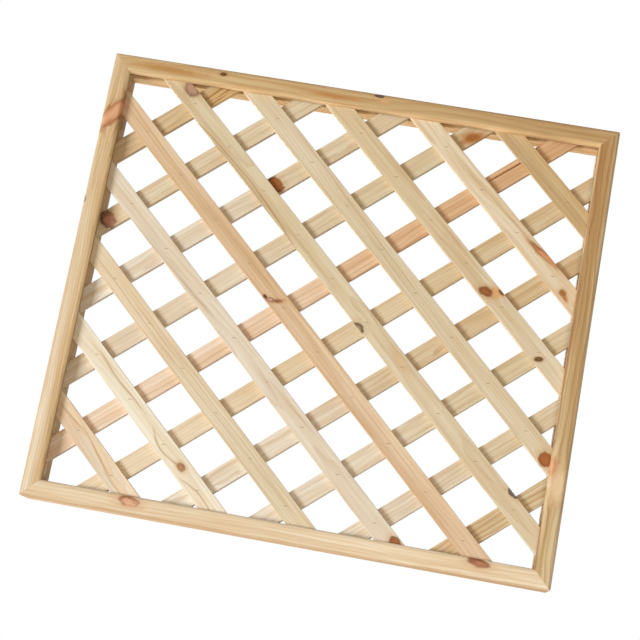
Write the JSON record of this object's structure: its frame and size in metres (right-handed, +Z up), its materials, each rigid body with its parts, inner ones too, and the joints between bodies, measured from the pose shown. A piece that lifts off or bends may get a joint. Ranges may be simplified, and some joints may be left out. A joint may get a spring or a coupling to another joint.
{
  "type": "plant trellis panel",
  "caption": "Framed diagonal lattice panel of pale pine that gives climbing plants a support, with crossing slats held in a grooved and mitred frame.",
  "frame": {"origin": "Middle of the underside of the bottom rail: halfway along the width and through the depth.", "axes": "+X runs along the panel's width to the right as seen from the front, +Y from the front face to the back, +Z up the panel's height."},
  "size_m": [0.9, 0.06, 0.8],
  "materials": {
    "frame_pine": "matte",
    "front_slat_pine": "matte",
    "back_slat_pine": "matte",
    "staple_wire": "satin"
  },
  "bodies": {
    "root": {"bottom_rail": "frame_pine", "top_rail": "frame_pine", "left_stile": "frame_pine", "right_stile": "frame_pine", "front_slat_01": "front_slat_pine", "front_slat_02": "front_slat_pine", "front_slat_03": "front_slat_pine", "front_slat_04": "front_slat_pine", "front_slat_05": "front_slat_pine", "front_slat_06": "front_slat_pine", "front_slat_07": "front_slat_pine", "front_slat_08": "front_slat_pine", "front_slat_09": "front_slat_pine", "front_slat_10": "front_slat_pine", "back_slat_01": "back_slat_pine", "back_slat_02": "back_slat_pine", "back_slat_03": "back_slat_pine", "back_slat_04": "back_slat_pine", "back_slat_05": "back_slat_pine", "back_slat_06": "back_slat_pine", "back_slat_07": "back_slat_pine", "back_slat_08": "back_slat_pine", "back_slat_09": "back_slat_pine", "back_slat_10": "back_slat_pine", "crossing_staples": "staple_wire", "mitre_staples": "staple_wire"}
  },
  "joints": []
}
